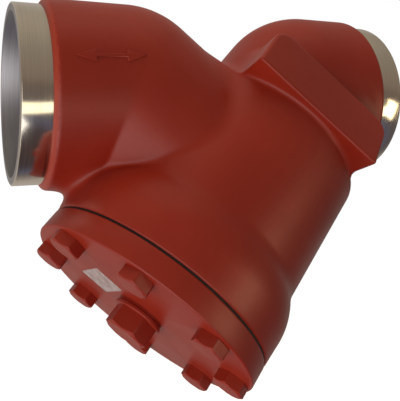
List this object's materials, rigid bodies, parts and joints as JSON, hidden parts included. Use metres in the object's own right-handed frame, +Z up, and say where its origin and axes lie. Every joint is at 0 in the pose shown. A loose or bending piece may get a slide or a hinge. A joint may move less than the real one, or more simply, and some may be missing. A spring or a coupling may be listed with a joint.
{
  "type": "straightway strainer",
  "caption": "Cast straightway strainer with butt-weld ends, a basket in a 45 degree branch, a bolted round cover and a drain plug.",
  "frame": {"origin": "centre of the outlet weld face, on the pipe axis", "axes": "+X along the pipe line from the outlet to the inlet, +Z up, +Y completes the right-handed frame; the branch points to -X and -Z"},
  "size_m": [0.325, 0.1944, 0.313],
  "materials": {
    "red_paint": "satin red-brown paint over a cast surface",
    "bare_steel": "machined bare weld end",
    "gasket_sheet": "matt dark fibre sheet",
    "stainless_steel": "brushed stainless steel",
    "wire_cloth": "fine woven stainless wire",
    "spring_steel": "drawn spring wire"
  },
  "bodies": {
    "housing": {"housing": "red_paint"},
    "basket": {"seat_ring": "stainless_steel", "support_tube": "stainless_steel", "filter_cloth": "wire_cloth", "end_cap": "stainless_steel", "basket_spring": "spring_steel", "pull_handle": "stainless_steel"},
    "cover": {"cover": "red_paint", "cover_gasket": "gasket_sheet"},
    "bolts": {"cover_bolt_1": "red_paint", "cover_bolt_2": "red_paint", "cover_bolt_3": "red_paint", "cover_bolt_4": "red_paint", "cover_bolt_5": "red_paint", "cover_bolt_6": "red_paint", "cover_bolt_7": "red_paint", "cover_bolt_8": "red_paint"},
    "plug_ring": {"plug_seal_ring": "red_paint"},
    "plug": {"drain_plug": "red_paint"}
  },
  "joints": [
    {"name": "basket_withdraw", "type": "slide", "parent": "housing", "child": "basket", "axis": [-0.7071, 0, -0.7071], "range_m": [0, 0.185]},
    {"name": "cover_lift_off", "type": "slide", "parent": "basket", "child": "cover", "axis": [-0.7071, 0, -0.7071], "range_m": [0, 0.09]},
    {"name": "bolts_out", "type": "slide", "parent": "cover", "child": "bolts", "axis": [-0.7071, 0, -0.7071], "range_m": [0, 0.055]},
    {"name": "plug_out", "type": "slide", "parent": "cover", "child": "plug_ring", "axis": [-0.7071, 0, -0.7071], "range_m": [0, 0.03]},
    {"name": "plug_turn", "type": "hinge", "parent": "plug_ring", "child": "plug", "pos_m": [0.08588, 0, -0.17112], "axis": [-0.7071, 0, -0.7071], "range_deg": [0, 5940]}
  ],
  "couplings": [
    {"joint": "plug_out", "follows": "plug_turn", "m_per_rad": 0.00028871}
  ]
}
